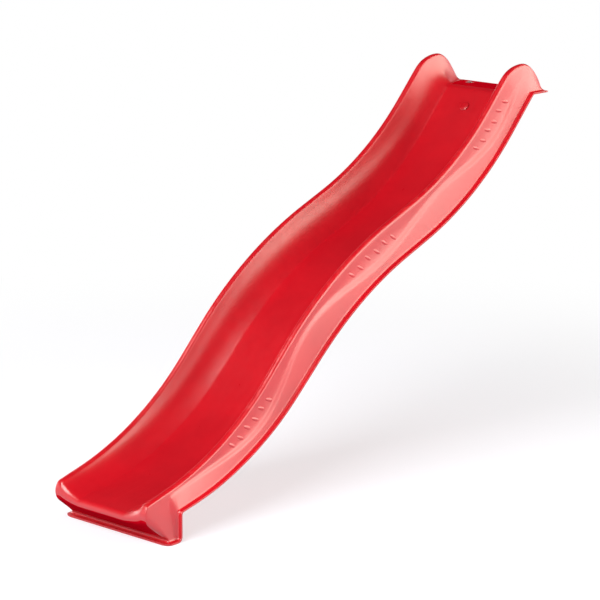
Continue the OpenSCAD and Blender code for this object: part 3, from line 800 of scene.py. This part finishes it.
def studioFloor():
    half = studio["floorSize"] / 2
    mesh = bpy.data.meshes.new("floor")
    corners = [(-half, -half, 0), (half, -half, 0), (half, half, 0), (-half, half, 0)]
    mesh.from_pydata(corners, [], [(0, 1, 2, 3)])
    floor = addPiece("floor", mesh)
    floor.location.z = cadLow.z
    material, tree = startMaterial("pale paper floor")
    place = addNode(tree, "TexCoord").outputs["Object"]
    tooth = addNode(tree, "TexNoise", {"Vector": place, "Scale": 1 / (studio["floorTooth"] * mm),
                                       "Detail": 2.0})
    rough = addNode(tree, "MapRange", {"Value": tooth.outputs["Fac"], "To Min": 0.85, "To Max": 0.95})
    # white to the eye and in reflections, while the shadow near the slide stays
    path = addNode(tree, "LightPath")
    seen = addNode(tree, "Math", {0: path.outputs["Is Camera Ray"], 1: path.outputs["Is Glossy Ray"]},
                   operation="MAXIMUM")
    seen = addNode(tree, "Math", {0: seen.outputs["Value"], 1: path.outputs["Is Transmission Ray"]},
                   operation="MAXIMUM")
    glow = addNode(tree, "Math", {0: seen.outputs["Value"], 1: studio["floorGlow"]}, operation="MULTIPLY")
    paper = addNode(tree, "BsdfPrincipled", {
        "Base Color": linear(studio["floorPale"]), "Roughness": rough.outputs["Result"],
        "Specular IOR Level": 0.0, "Emission Color": (1, 1, 1, 1),
        "Emission Strength": glow.outputs["Value"]})
    away = addNode(tree, "VectorMath", {0: place, 1: (0, studio["aim"][1], 0)}, operation="DISTANCE")
    far = addNode(tree, "MapRange", {"Value": away.outputs["Value"], "From Min": studio["nearR"],
                                     "From Max": studio["farR"]}, interpolation_type="SMOOTHSTEP")
    share = addNode(tree, "Math", {0: far.outputs["Result"], 1: seen.outputs["Value"]}, operation="MULTIPLY")
    white = addNode(tree, "Emission", {"Color": (1, 1, 1, 1), "Strength": 1.0})
    both = addNode(tree, "MixShader", {0: share.outputs["Value"], 1: paper.outputs["BSDF"],
                                       2: white.outputs["Emission"]})
    addNode(tree, "OutputMaterial", {"Surface": both.outputs["Shader"]})
    dress(floor, material)
    floor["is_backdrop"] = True


def softLamp(name, heading, height, distance, width, tall, radiance, colour):
    light = bpy.data.lights.new(name, "AREA")
    light.shape = "RECTANGLE"
    light.size, light.size_y = width, tall
    light.energy = radiance * math.pi * width * tall
    light.color = linear(colour)[:3]
    lamp = addPiece(name, light)
    towards = Vector((cosD(height) * cosD(heading), cosD(height) * sinD(heading), sinD(height)))
    lamp.location = Vector(studio["aim"]) + distance * towards
    lamp.rotation_euler = (-towards).to_track_quat("-Z", "Y").to_euler()
    lamp.visible_camera = False


def studioDome():
    world = bpy.data.worlds.new("dome")
    world.use_nodes = True
    tree = world.node_tree
    tree.nodes.clear()
    towards = addNode(tree, "TexCoord").outputs["Generated"]
    height = addNode(tree, "SeparateXYZ", {"Vector": towards}).outputs["Z"]
    strength = addNode(tree, "MapRange", {"Value": height, "From Min": studio["skyLow"],
                                          "From Max": studio["skyHigh"], "To Min": studio["horizon"],
                                          "To Max": studio["overhead"]}, interpolation_type="SMOOTHSTEP")
    sky = addNode(tree, "Background", {"Color": (1, 1, 1, 1), "Strength": strength.outputs["Result"]})
    addNode(tree, "OutputWorld", {"Surface": sky.outputs["Background"]})
    bpy.context.scene.world = world


studioFloor()
for name in ("sidePanel", "frontLamp", "lowLamp", "fillLamp"):
    softLamp(name, *studio[name])
studioDome()

# camera: where the photograph was taken from, with a longer lens so that the slide fills the frame
view = dict(place=(5.7997, -5.428, 2.585), aim=(-0.0033, 0.82, 0.595), lens=159, farthest=200)
lens = bpy.data.cameras.new("camera")
lens.lens = view["lens"]
lens.clip_end = view["farthest"]
camera = addPiece("camera", lens)
camera.location = view["place"]
camera.rotation_euler = (Vector(view["aim"]) - Vector(view["place"])).to_track_quat("-Z", "Y").to_euler()
bpy.context.scene.camera = camera
bpy.context.scene.view_settings.view_transform = "Standard"
print("studio done")

low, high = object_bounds()
